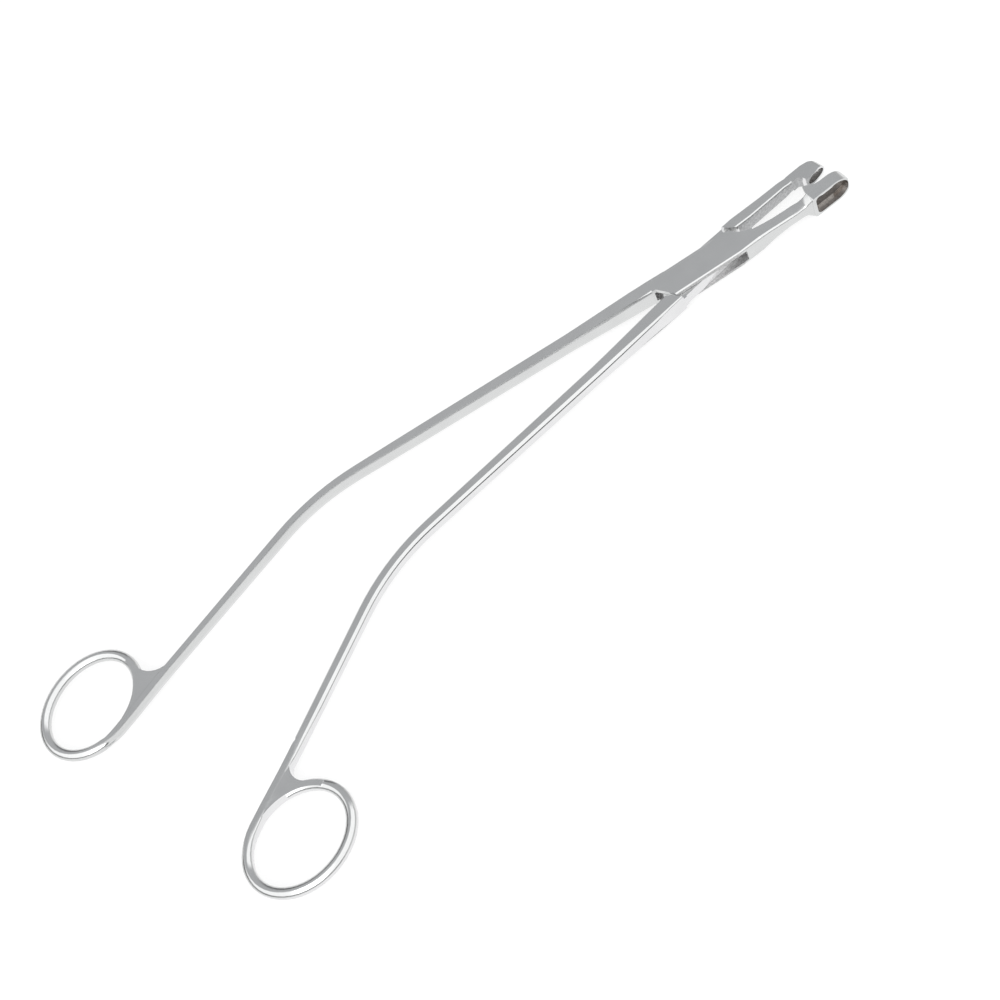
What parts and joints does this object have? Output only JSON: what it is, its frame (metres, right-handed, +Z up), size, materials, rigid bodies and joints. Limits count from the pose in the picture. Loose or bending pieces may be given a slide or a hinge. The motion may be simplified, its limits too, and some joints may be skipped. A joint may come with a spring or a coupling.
{
  "type": "biopsy forceps",
  "caption": "Long biopsy forceps with a box lock, offset ring handles, a windowed lower jaw and a cup-shaped upper jaw that bites into it.",
  "frame": {"origin": "pivot axis at the underside of the lock's box", "axes": "+X along the box towards the jaws, +Y towards the outer half's handle side, +Z up along the pivot pin"},
  "size_m": [0.2816, 0.1116, 0.008],
  "materials": {
    "outer_steel": "satin",
    "inner_steel": "satin",
    "pin_steel": "satin"
  },
  "bodies": {
    "box_half": {"box_half": "outer_steel", "pivot_pin": "pin_steel"},
    "tang_half": {"tang_half": "inner_steel"}
  },
  "joints": [
    {"name": "box_lock", "type": "hinge", "parent": "box_half", "child": "tang_half", "pos_m": [0, 0, 0.0032], "axis": [0, 0, 1], "range_deg": [-9.6, 15]}
  ]
}
